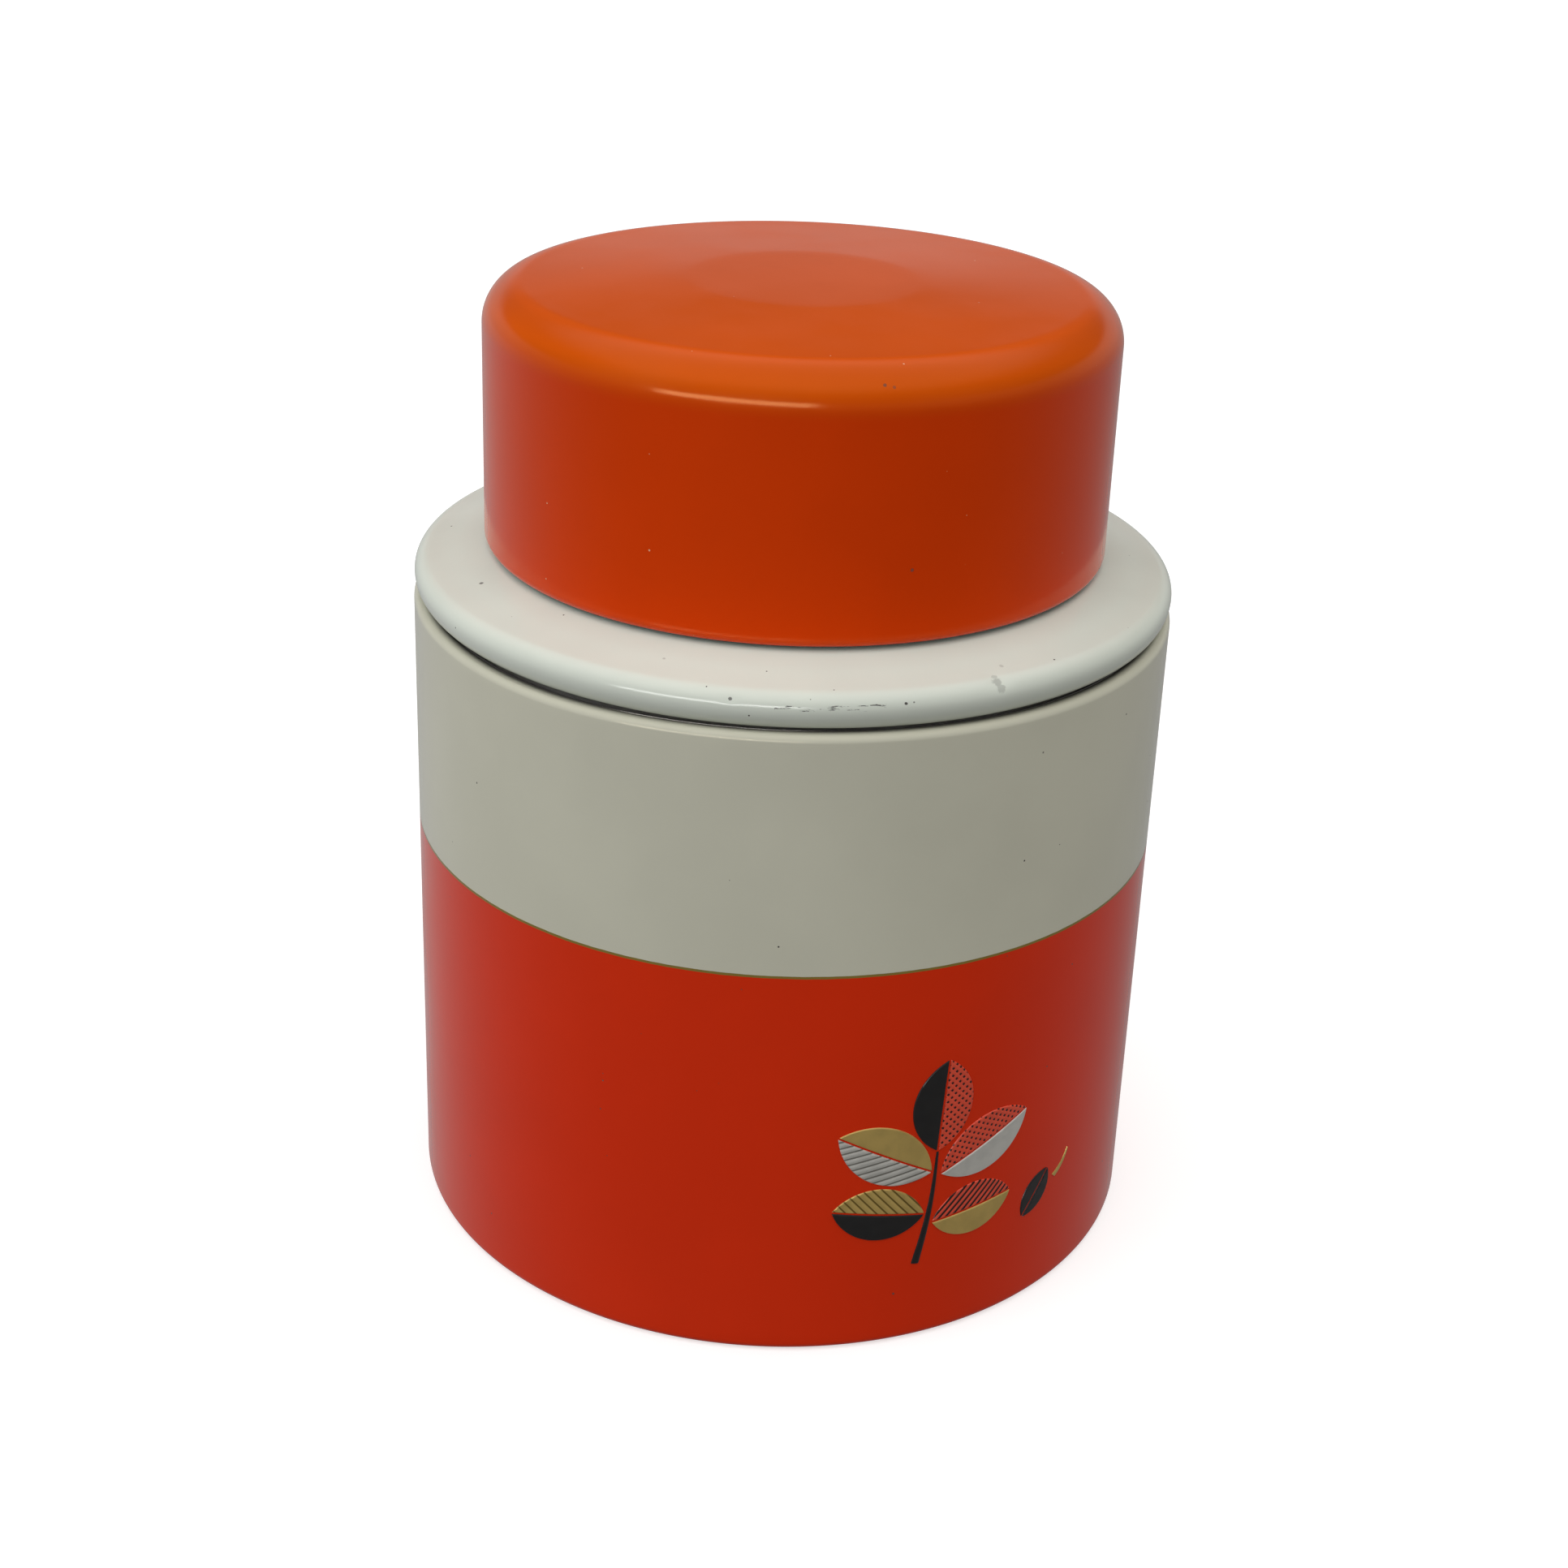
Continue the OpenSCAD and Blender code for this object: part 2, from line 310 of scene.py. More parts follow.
# ---------------------------------------------------------------- meshes
def put_mesh(name, points, faces, materials, picks=None, uv=None, lines=None):
    """Mesh object at the origin from points in mm.

    picks gives each face's material, uv each corner's place and lines each point's value of the attribute
    "line". Points that coincide, as at a pole, are welded, and faces are turned to enclose a volume.
    """
    points, faces = np.asarray(points, float), np.asarray(faces)
    p = points[faces]
    volume = np.einsum("ij,ij->", p[:, 0], np.cross(p[:, 1], p[:, 2]) + np.cross(p[:, 2], p[:, 3]))
    if volume < 0:
        faces = faces[:, ::-1]
        uv = None if uv is None else uv[:, ::-1]
    mesh = bpy.data.meshes.new(name)
    mesh.from_pydata((points * MM).tolist(), [], faces.tolist())
    for material in materials:
        mesh.materials.append(material)
    if picks is not None:
        mesh.polygons.foreach_set("material_index", np.asarray(picks, np.int32))
    if uv is not None:
        layer = mesh.uv_layers.new(name="wrap")
        layer.data.foreach_set("uv", np.asarray(uv, np.float32).ravel())
    if lines is not None:
        mesh.attributes.new("line", "FLOAT", "POINT").data.foreach_set("value", lines.astype(np.float32))
    mesh.polygons.foreach_set("use_smooth", np.ones(len(faces), bool))
    welded = bmesh.new()
    welded.from_mesh(mesh)
    bmesh.ops.remove_doubles(welded, verts=welded.verts, dist=1e-7)
    welded.to_mesh(mesh)
    welded.free()
    mesh.set_sharp_from_angle(angle=math.radians(40))
    made = bpy.data.objects.new(name, mesh)
    bpy.context.scene.collection.objects.link(made)
    return made


def turned(name, line, materials, split=None, shape=None, around=EVEN, bare=None):
    """Surface of revolution: point i of the line at turn a is (r sin a, -r cos a, z), where a runs from -pi
    at the back through 0 at the front.

    A line that starts on the axis is left open; any other is a closed outline. split is the
    number of points on a sheet's first face, which takes the first material; the rest takes the last.
    shape(a, r, z) moves the points. bare is a half width in mm: that close to the back line, the first
    face takes the second material.
    """
    line = np.asarray(line, float)
    count = len(line)
    rows = count if line[0, 0] > 0 else count - 1
    columns = len(around)
    r = np.repeat(line[:, :1], columns, 1)
    z = np.repeat(line[:, 1:], columns, 1)
    if shape:
        r, z = shape(np.broadcast_to(around, r.shape), r, z)
    points = np.stack([r * np.sin(around), -r * np.cos(around), z], -1).reshape(-1, 3)
    i, j = np.divmod(np.arange(rows * columns), columns)
    below, beside = (i + 1) % count, (j + 1) % columns
    corners = ((i, j), (i, beside), (below, beside), (below, j))
    faces = np.stack([row * columns + column for row, column in corners], -1)
    v = run(np.concatenate([line, line[:1]])) * MM
    u = np.append(around, math.pi) * BODY_R * MM
    uv = np.stack([np.stack([u[j + over], v[i + down]], -1)
                   for over, down in ((0, 0), (1, 0), (1, 1), (0, 1))], 1)
    picks = (i >= (split or count)) * (len(materials) - 1)
    if bare:
        picks[(picks == 0) & (np.abs(u[j] + u[j + 1]) / 2 > (math.pi * BODY_R - bare) * MM)] = 1
    return put_mesh(name, points, faces, materials, picks, uv)


def sheet_piece(name, line, materials, **options):
    """Pressed sheet between line(0) and line(SHEET), closed by its cut edges."""
    face, back = line(0), line(SHEET)
    return turned(name, np.concatenate([face, back[::-1]]), materials, split=len(face), **options)


def bell(distance, width):
    """1 at no distance, falling as exp(-(distance / width) squared)."""
    return np.exp(-(distance / width) ** 2)


def eased(value, low, high):
    """0 below low, 1 above high, and a cubic ease between them."""
    t = np.clip((value - low) / (high - low), 0, 1)
    return t * t * (3 - 2 * t)


def mouth_form(a, r, z):
    """Mouth's edge worn down 0.1 mm, and further at the front left and right, fading out 10 mm below."""
    left = bell(a - math.radians(-64), math.radians(22))
    right = bell(a - math.radians(22), math.radians(22))
    dip = 0.1 + 0.3 * left + 0.15 * right
    return r, z - dip * eased(z, BODY_TOP - 10, BODY_TOP - 1)


def body_form(a, r, z):
    """Side seam at the back: the lapped edge steps in 0.3 mm and eases out over 4 mm."""
    past = (a + math.pi) * BODY_R
    lap = 0.3 * np.clip(1 - past / 4, 0, 1)
    held = eased(z, 3, 6) * (1 - eased(z, BODY_TOP - 5, BODY_TOP - 2))
    return mouth_form(a, r - lap * held, z)


def shoulder_form(a, r, z):
    """Two knocks on the bead, pushed in along its slope."""
    for azimuth, lean, width, depth in BEAD_KNOCKS:
        lean = math.radians(lean)
        spot_r = BEAD_R - BEAD_UPPER * (1 - math.cos(lean))
        spot_z = BEAD_Z + BEAD_UPPER * math.sin(lean)
        away = np.hypot((a - math.radians(azimuth)) * BEAD_R, np.hypot(r - spot_r, z - spot_z))
        push = depth * bell(away, width)
        r, z = r - push * math.cos(lean), z - push * math.sin(lean)
    return r, z


# ---------------------------------------------------------------- materials
def linear(code):
    """Linear RGBA of an sRGB hex colour."""
    parts = [int(code[k:k + 2], 16) / 255 for k in (1, 3, 5)]
    return [p / 12.92 if p <= 0.04045 else ((p + 0.055) / 1.055) ** 2.4 for p in parts] + [1]


def add(tree, kind, *values, out=None, named=None, **settings):
    """Adds one node and returns its output out, or else its first.

    settings are the node's properties. values go to its inputs in order and named ones by name: a socket
    is linked, and anything else becomes the input's own value.
    """
    made = tree.nodes.new("ShaderNode" + kind)
    for key, value in settings.items():
        setattr(made, key, value)
    targets = list(zip([each for each in made.inputs if each.enabled], values))
    targets += [(made.inputs[key], value) for key, value in (named or {}).items()]
    for target, value in targets:
        if isinstance(value, bpy.types.NodeSocket):
            tree.links.new(value, target)
        else:
            target.default_value = value
    return made.outputs[out] if out else next((each for each in made.outputs if each.enabled), None)


def fresh(name):
    """New material without nodes, and its tree."""
    material = bpy.data.materials.new(name)
    material.use_nodes = True
    material.node_tree.nodes.clear()
    return material, material.node_tree


def coat(material, **sockets):
    """Gives a material its Principled shader with the given sockets, and returns it."""
    named = {key.replace("_", " "): value for key, value in sockets.items()}
    tree = material.node_tree
    add(tree, "OutputMaterial", add(tree, "BsdfPrincipled", named=named))
    return material


def per_metre(size):
    """Texture scale whose features are about size millimetres across."""
    return 1 / (size * MM)


# Settings of two nodes: a smooth step from one range of values to another, and a blend of two colours.
SMOOTH = {"interpolation_type": "SMOOTHSTEP"}
COLOUR = {"data_type": "RGBA"}


def specks(tree, where, cell, radius, share):
    """Mask of round specks: a Voronoi cell of cell mm holds one, up to radius mm, in a share of the cells."""
    away = add(tree, "TexVoronoi", where, per_metre(cell))
    luck = add(tree, "SeparateColor", away.node.outputs["Color"], out="Red")
    size = add(tree, "MapRange", luck, 0, 1, radius / cell * 0.35, radius / cell, **SMOOTH)
    relative = add(tree, "Math", away, size, operation="DIVIDE")
    inside = add(tree, "MapRange", relative, 0.7, 1.0, 1.0, 0.0, **SMOOTH)
    chosen = add(tree, "Math", luck.node.outputs["Green"], share, operation="LESS_THAN")
    return add(tree, "Math", inside, chosen, operation="MULTIPLY")


def enamel(name, paint, speck_colour, speck_share, wear, crevice, varnish):
    """Stoved satin enamel on printed tinplate: faint orange peel, slightly uneven panels, pinhole specks.

    paint(tree, where) gives the ink's colour, and wear(tree, where) a mask of marks that show the dark plate.
    crevice is the pair of distances along the piece's line, in mm, between which a near-black painted shade,
    standing in for the shadow in the piece's crevice, goes from none to full, and varnish the tint that its
    yellowed clear coat gives to reflections.
    """
    material, tree = fresh(name)
    where = add(tree, "TexCoord", out="Object")
    cloud = add(tree, "TexNoise", where, per_metre(22), 3)
    shade = add(tree, "MapRange", cloud, 0.3, 0.7, 0.0, 0.05, **SMOOTH)
    ink = add(tree, "Mix", shade, paint(tree, where), linear("#000000"), **COLOUR)
    pin = specks(tree, where, 3.4, 0.15, speck_share)
    ink = add(tree, "Mix", pin, ink, linear(speck_colour), **COLOUR)
    along = add(tree, "SeparateXYZ", add(tree, "UVMap", uv_map="wrap"), out="Y")
    start, full = crevice
    # Painted shade: a near-black band towards the crevice end of the piece's line stands in for the shadow in
    # the gap.
    crevice_shade = add(tree, "MapRange", along, start * MM, full * MM, **SMOOTH)
    ink = add(tree, "Mix", crevice_shade, ink, linear("#26221D"), **COLOUR)
    mark = wear(tree, where)
    ink = add(tree, "Mix", mark, ink, linear("#4F4D48"), **COLOUR)
    polish = add(tree, "TexNoise", where, per_metre(14), 4, 0.6)
    gloss = add(tree, "MapRange", polish, 0.3, 0.75, 0.11, 0.19, **SMOOTH)
    gloss = add(tree, "Math", mark, 0.2, gloss, operation="MULTIPLY_ADD")
    pits = add(tree, "Math", pin, -0.6, operation="MULTIPLY")
    peel = add(tree, "TexNoise", where, per_metre(0.9), 1)
    height = add(tree, "Math", peel, 0.12, pits, operation="MULTIPLY_ADD")
    height = add(tree, "Math", mark, -0.5, height, operation="MULTIPLY_ADD")
    uneven = add(tree, "TexNoise", where, per_metre(30), 0)
    panel = add(tree, "Bump", named={"Height": uneven, "Strength": 0.6, "Distance": 0.06 * MM})
    fine = add(tree, "Bump", named={"Height": height, "Strength": 0.5, "Distance": 0.05 * MM,
                                    "Normal": panel})
    return coat(material, Base_Color=ink, Roughness=gloss, Normal=fine, IOR=1.38,
                Specular_Tint=linear(varnish))


def body_ink(tree, where):
    """Cream above the band line, a 0.35 mm gold line, and orange-red below, by height."""
    height = add(tree, "SeparateXYZ", where, out="Z")
    waver = add(tree, "TexNoise", where, per_metre(1.5))
    edge = add(tree, "Math", waver, 0.08 * MM, height, operation="MULTIPLY_ADD")
    above = add(tree, "Math", edge, (BAND_Z + 0.21) * MM, operation="GREATER_THAN")
    below = add(tree, "Math", edge, (BAND_Z - 0.13) * MM, operation="LESS_THAN")
    ink = add(tree, "Mix", above, linear("#8E7A3A"), linear("#DAD8C4"), **COLOUR)
    return add(tree, "Mix", below, ink, linear("#E8320A"), **COLOUR)


def shoulder_ink(tree, where):
    """Cream, lighter than the printed band, and painted a shade colder inside the bead, nearer the cap: a
    painted counter-tint that offsets the orange light the cap bounces onto the shoulder.
    """
    east = add(tree, "SeparateXYZ", where, out="X")
    flat = add(tree, "CombineXYZ", east, east.node.outputs["Y"])
    radius = add(tree, "VectorMath", flat, operation="LENGTH")
    # Painted light correction: the colder cream near the cap cancels the pink cast of light bounced off the
    # orange cap.
    outer = add(tree, "MapRange", radius, 44 * MM, 48 * MM, **SMOOTH)
    return add(tree, "Mix", outer, linear("#E6EFE2"), linear("#E3E8DB"), **COLOUR)


def cap_ink_with_painted_light(tree, where):
    """Orange-red wall that turns a yellower and duller orange up the rounded edge: painted light, the lit
    look of the top painted into the ink as a yellower orange, with a darker painted shade across the upper
    edge.
    """
    height = add(tree, "SeparateXYZ", where, out="Z")
    ink = linear("#E23F03")
    # Painted light: bands by height, a yellower orange for the lit top and a darker painted shade on the
    # upper edge.
    for low, high, tone in ((7.0, 3.2, "#E0590A"), (3.2, 1.3, "#D1520B"), (1.2, 0.5, "#DC560B")):
        risen = add(tree, "MapRange", height, (CAP_TOP - low) * MM, (CAP_TOP - high) * MM, **SMOOTH)
        ink = add(tree, "Mix", risen, ink, linear(tone), **COLOUR)
    return ink


def chips(tree, where, spots):
    """Mask of ragged chips at the given spots."""
    grit = add(tree, "TexNoise", where, per_metre(0.5), 3, 0.7)
    ragged = add(tree, "Math", grit, 0.9, -0.45, operation="MULTIPLY_ADD")
    mask = 0.0
    for azimuth, r, z, size, tone in spots:
        a = math.radians(azimuth)
        spot = (r * math.sin(a) * MM, -r * math.cos(a) * MM, z * MM)
        away = add(tree, "VectorMath", where, spot, operation="DISTANCE")
        edge = add(tree, "Math", away, per_metre(size), ragged, operation="MULTIPLY_ADD")
        chip = add(tree, "MapRange", edge, 0.85, 0.5, 0.0, tone, **SMOOTH)
        mask = add(tree, "Math", mask, chip, operation="MAXIMUM")
    return mask


def bead_wear(tree, where):
    """Chips, and short dark scuffs round the front of the shoulder's bead, drawn out along its edge."""
    wrap = add(tree, "UVMap", uv_map="wrap")
    streaks = add(tree, "Mapping", wrap, named={"Scale": (0.16, 1, 1)})
    rub = add(tree, "MapRange", add(tree, "TexNoise", streaks, per_metre(0.4), 4, 0.7), 0.56, 0.62, **SMOOTH)
    sideways = add(tree, "SeparateXYZ", wrap, out="X")
    height = add(tree, "SeparateXYZ", where, out="Z")
    front = add(tree, "Math", sideways, -16.7 * MM, 6.5 * MM, operation="COMPARE")
    level = add(tree, "Math", height, (BEAD_Z + 0.6) * MM, 0.38 * MM, operation="COMPARE")
    patch = add(tree, "Math", front, level, operation="MULTIPLY")
    scuff = add(tree, "Math", rub, patch, operation="MULTIPLY")
    return add(tree, "Math", scuff, chips(tree, where, SHOULDER_CHIPS), operation="MAXIMUM")


def tinplate(name, tint, dull, gloss):
    """Old tinplate: bright, slightly hazy metal with rolling lines round the wall and rust-brown pinpricks.

    Metallic stays below 1 because the tin's matt oxide scatters part of the light.
    """
    material, tree = fresh(name)
    where = add(tree, "TexCoord", out="Object")
    rolled = add(tree, "Mapping", where, named={"Scale": (0.04, 0.04, 1)})
    lines = add(tree, "TexNoise", rolled, per_metre(0.4), 3, 0.65)
    haze = add(tree, "MapRange", add(tree, "TexNoise", where, per_metre(16)), 0.35, 0.7, **SMOOTH)
    plate = add(tree, "Mix", haze, linear(tint), linear(dull), **COLOUR)
    stain = add(tree, "Math", specks(tree, where, 2.6, 0.2, 0.5), 0.7, operation="MULTIPLY")
    plate = add(tree, "Mix", stain, plate, linear("#6A4F38"), **COLOUR)
    rough = add(tree, "Math", lines, 0.08, gloss, operation="MULTIPLY_ADD")
    bump = add(tree, "Bump", named={"Height": lines, "Strength": 0.12, "Distance": 0.02 * MM})
    return coat(material, Base_Color=plate, Metallic=0.72, Roughness=rough, Normal=bump)


def turned_aluminium():
    """Turned aluminium: fine concentric tool marks, about 1 mm apart, round the knob's axis."""
    material, tree = fresh("turned_aluminium")
    where = add(tree, "TexCoord", out="Object")
    rings = add(tree, "TexWave", where, per_metre(0.5) / TURN, 0.4, 2.0, out="Fac",
                wave_type="RINGS", rings_direction="Z")
    tone = add(tree, "TexNoise", where, per_metre(3), 3)
    metal = add(tree, "Mix", tone, linear("#D9DADC"), linear("#B9BBBE"), **COLOUR)
    rough = add(tree, "MapRange", rings, 0, 1, 0.2, 0.34, **SMOOTH)
    bump = add(tree, "Bump", named={"Height": rings, "Strength": 0.3, "Distance": 0.02 * MM})
    return coat(material, Base_Color=metal, Metallic=1.0, Roughness=rough, Normal=bump)


def pulp_board():
    """Grey-brown pulp board: matt, with short fibres and darker flocks that break up its colour."""
    material, tree = fresh("pulp_board")
    where = add(tree, "TexCoord", out="Object")
    fibre = add(tree, "TexNoise", where, per_metre(0.7), 6, 0.75)
    tone = add(tree, "MapRange", fibre, 0.35, 0.7, **SMOOTH)
    board = add(tree, "Mix", tone, linear("#B79E78"), linear("#8F7853"), **COLOUR)
    flock = add(tree, "Math", specks(tree, where, 1.4, 0.3, 0.5), 0.5, operation="MULTIPLY")
    board = add(tree, "Mix", flock, board, linear("#6F5B3E"), **COLOUR)
    bump = add(tree, "Bump", named={"Height": fibre, "Strength": 0.6, "Distance": 0.08 * MM})
    return coat(material, Base_Color=board, Roughness=0.9, Normal=bump)


def printed_foil(name, bright, deep, metallic, gloss, step):
    """Motif ink or hot-stamped foil, slightly smudged.

    The attribute "line" runs from 0 in a groove to 1 on a ridge, and the groove's deep tone gives way to
    the bright one over the range step.
    """
    material, tree = fresh(name)
    where = add(tree, "TexCoord", out="Object")
    line = add(tree, "Attribute", attribute_name="line", out="Fac")
    ridge = add(tree, "MapRange", line, *step, **SMOOTH)
    ink = add(tree, "Mix", ridge, linear(deep), linear(bright), **COLOUR)
    smear = add(tree, "TexNoise", where, per_metre(2.5), 3)
    smudge = add(tree, "MapRange", smear, 0.35, 0.7, 0.0, 0.12, **SMOOTH)
    ink = add(tree, "Mix", smudge, ink, linear("#2A2218"), **COLOUR)
    polish = add(tree, "TexNoise", where, per_metre(1.2), 3)
    rough = add(tree, "MapRange", polish, 0.3, 0.7, gloss, gloss + 0.12, **SMOOTH)
    return coat(material, Base_Color=ink, Metallic=metallic, Roughness=rough)


# ---------------------------------------------------------------- motif: a sprig of plain leaves
def leaf_half(root, tip, width, side, pitch=0, dots=False):
    """Half of a leaf as a closed pad on the wall, in flat millimetres (x round the wall, y up).

    At t along the midrib from root to tip and s across it, the point is midrib(t) + side s w(t) across,
    where w is a circle arc of height width over the leaf's length. A pad stands up to 0.14 mm proud with
    rounded rims; veins at 40 degrees to the midrib rise and fall as a cosine of the given pitch.
    Returns the points, the faces and each point's line value.
    """
    root, tip = np.array(root, float), np.array(tip, float)
    length = np.hypot(*(tip - root))
    ahead = (tip - root) / length
    across = np.array([-ahead[1], ahead[0]]) * side
    t, s = np.meshgrid(np.linspace(0, 1, 121), np.linspace(0, 1, 41), indexing="ij")
    gap, rounding, lean = 0.12, 0.12, math.radians(40)
    radius = (length ** 2 / 4 + width ** 2) / (2 * width)
    w = np.sqrt(radius ** 2 - (length * (t - 0.5)) ** 2) - (radius - width)
    x, y = length * t, s * w + gap
    flat = root + x[..., None] * ahead + y[..., None] * across
    line = np.ones_like(t)
    if pitch:
        turn = (x * math.sin(lean) - y * math.cos(lean)) / pitch
        line = 0.5 + 0.5 * np.cos(TURN * turn)
    if dots:
        turn = (x * math.cos(lean) + y * math.sin(lean)) / pitch
        line = np.maximum(line, 0.5 + 0.5 * np.cos(TURN * turn))
    rim = np.minimum(np.minimum(s, 1 - s) * w, np.minimum(t, 1 - t) * length)
    height = (0.08 + 0.06 * line) * np.clip(rim / rounding, 0, 1) ** 0.5
    return pad(flat, height, line)


def pad(flat, height, line):
    """Closed pad: a grid of flat places raised by height over the wall, and the same grid sunk below it."""
    deep = -0.05 * np.ones_like(height)
    layers = []
    for rise in (height, deep):
        a = flat[..., 0] / BODY_R
        r = BODY_R + rise
        layers.append(np.stack([r * np.sin(a), -r * np.cos(a), MOTIF_Z + flat[..., 1]], -1).reshape(-1, 3))
    n, m = height.shape
    index = np.arange(n * m).reshape(n, m)
    top = np.stack([index[:-1, :-1], index[1:, :-1], index[1:, 1:], index[:-1, 1:]], -1).reshape(-1, 4)
    edge = np.concatenate([index[:, 0], index[-1, 1:], index[-2::-1, -1], index[0, -2:0:-1]])
    after = np.roll(edge, -1)
    walls = np.stack([after, edge, edge + n * m, after + n * m], -1)
    faces = np.concatenate([top, top[:, ::-1] + n * m, walls])
    return np.concatenate(layers), faces, np.tile(line.ravel(), 2)


def motif(name, parts, material):
    """One piece from pads of one ink, with their line values as an attribute."""
    offset, points, faces, lines = 0, [], [], []
    for p, f, line in parts:
        points.append(p)
        faces.append(f + offset)
        lines.append(line)
        offset += len(p)
    return put_mesh(name, np.concatenate(points), np.concatenate(faces), [material],
                    lines=np.concatenate(lines))


def stem(start, end, sag, width):
    """Pad along a shallow arc from start to end that bows sideways by sag and tapers to its end."""
    start, end = np.array(start, float), np.array(end, float)
    t, s = np.meshgrid(np.linspace(0, 1, 81), np.linspace(-1, 1, 9), indexing="ij")
    ahead = end - start
    across = np.array([-ahead[1], ahead[0]]) / np.hypot(*ahead)
    half = width / 2 * (1 - 0.7 * t)
    flat = start + t[..., None] * ahead + (sag * np.sin(math.pi * t) + s * half)[..., None] * across
    height = 0.14 * np.sqrt(np.clip(1 - s ** 2, 0.02, 1))
    return pad(flat, height, np.ones_like(t))


def along_at(root, degrees, length):
    """Point at a distance from root, at an angle clockwise from straight up."""
    a = math.radians(degrees)
    return root[0] + length * math.sin(a), root[1] + length * math.cos(a)


# ---------------------------------------------------------------- the tin
# The pairs of line distances below set where each enamel's painted crevice shade starts and is full: the
# body's rolled top, the lower bead and tucked fold of the shoulder, and the underside of the cap's rolled
# rim.
printed = enamel("printed_enamel", body_ink, "#55504A", 0.8,
                 lambda tree, where: chips(tree, where, BODY_CHIPS), run(body_line(0))[[-7, -4]], "#FFEBCB")
cream = enamel("cream_enamel", shoulder_ink, "#4C473F", 0.7,
               bead_wear, run(shoulder_line(0))[[-10, -6]], "#FFFFFF")
orange = enamel("orange_enamel", cap_ink_with_painted_light, "#E8B08A", 0.45,
                lambda tree, where: chips(tree, where, CAP_CHIPS), run(cap_line(0))[[-16, -13]], "#FFD08C")
bright_tin = tinplate("bright_tinplate", "#E6E4DF", "#D2CFC8", 0.16)
gold_lacquer = tinplate("gold_lacquered_tinplate", "#E2CB93", "#D2B87C", 0.22)
aluminium = turned_aluminium()
card = pulp_board()

# Columns beside the side seam, closer together than elsewhere for its step, in place of nine even ones.
SEAM_FINE = np.array([0.02, 0.2, 0.6, 1.2, 2.0, 3.0, 3.4, 4.2, 5.0]) / BODY_R
seamed = np.concatenate([[-math.pi], SEAM_FINE - math.pi, EVEN[10:-9], (math.pi - SEAM_FINE)[::-1]])

# Piece, the node that it replaces, its body and its slot.
PIECES = (
    (sheet_piece("body_wall", body_line, [printed, bright_tin, gold_lacquer],
                 shape=body_form, around=seamed, bare=1.25), "body_shell", "tin_body", "printed_body"),
    (sheet_piece("body_base", base_line, [bright_tin, gold_lacquer]),
     "base_disc", "tin_body", "bare_tinplate"),
    (sheet_piece("mouth_guide", guide_line, [bright_tin], shape=mouth_form),
     "guide_ring", "tin_body", "bare_tinplate"),
    (sheet_piece("shoulder_shell", shoulder_line, [cream, gold_lacquer], shape=shoulder_form),
     "shoulder_ring", "shoulder_lid", "cream_lacquer"),
    (sheet_piece("plug_wall", skirt_line, [bright_tin]), "plug_skirt", "shoulder_lid", "bare_tinplate"),
    (sheet_piece("neck_wall", neck_line, [bright_tin]), "neck_collar", "shoulder_lid", "bare_tinplate"),
    (sheet_piece("press_lid_pan", lid_line, [gold_lacquer, bright_tin]),
     "inner_lid", "press_lid", "bare_tinplate"),
    (turned("lid_knob", knob_outline(), [aluminium], around=SMALL),
     "inner_lid_knob", "press_lid", "turned_aluminium"),
    (turned("lid_rivet", rivet_outline(), [bright_tin], around=SMALL),
     "knob_rivet", "press_lid", "bare_tinplate"),
    (turned("lid_washer", washer_outline(), [bright_tin], around=SMALL),
     "rivet_washer", "press_lid", "bare_tinplate"),
    (sheet_piece("cap_dome", cap_line, [orange, gold_lacquer]), "cap_shell", "slip_cap", "orange_lacquer"),
    (turned("cap_card", liner_outline(), [card]), "cap_liner", "slip_cap", "liner_card"),
)
for piece, node, body, slot in PIECES:
    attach(piece, body)
    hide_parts(node)

# Pads of each ink, and the two pitches of veins in mm.
gold, silver, black, salmon = [], [], [], []
RIB, FINE = 0.9, 0.75
# Leaves: root, angle clockwise from straight up, length, half width, left fill, right fill.
LEAVES = (
    ((0.0, 2.0), 4, 13.0, 4.1, (black, {}), (salmon, {"pitch": FINE, "dots": True})),
    ((-0.7, -1.0), -62, 14.2, 3.9, (silver, {"pitch": RIB}), (gold, {})),
    ((0.7, -1.6), 66, 14.2, 3.9, (salmon, {"pitch": FINE, "dots": True}), (silver, {})),
    ((-1.4, -7.2), -81, 12.4, 3.7, (black, {}), (gold, {"pitch": RIB})),
    ((-0.1, -8.8), 84, 12.0, 3.7, (salmon, {"pitch": FINE}), (gold, {})),
    ((14.6, -13.0), 38, 7.2, 2.0, (black, {}), (black, {})),
)
for root, angle, length, half, (left, left_fill), (right, right_fill) in LEAVES:
    tip = along_at(root, angle, length)
    left.append(leaf_half(root, tip, half, 1, **left_fill))
    right.append(leaf_half(root, tip, half, -1, **right_fill))
black.append(stem((-2.2, -14.6), (0.0, 1.8), -0.5, 1.1))
gold.append(stem((20.6, -9.3), (23.4, -6.2), -0.4, 0.9))

MOTIF_INKS = (
    ("motif_gold", gold, printed_foil("gold_printing_foil", "#DDBD6E", "#80672E", 0.45, 0.3, (0.04, 0.28))),
    ("motif_silver", silver,
     printed_foil("silver_printing_foil", "#E8E5DC", "#8B887E", 0.45, 0.3, (0.04, 0.28))),
    ("motif_black", black, printed_foil("black_printing_ink", "#1F1E1E", "#1F1E1E", 0.0, 0.32, (0.0, 1.0))),
    ("motif_salmon", salmon, printed_foil("lined_salmon_ink", "#F0553A", "#2A1714", 0.0, 0.32, (0.3, 0.5))),
)
for name, parts, ink in MOTIF_INKS:
    piece = motif(name, parts, ink)
    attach(piece, "tin_body")


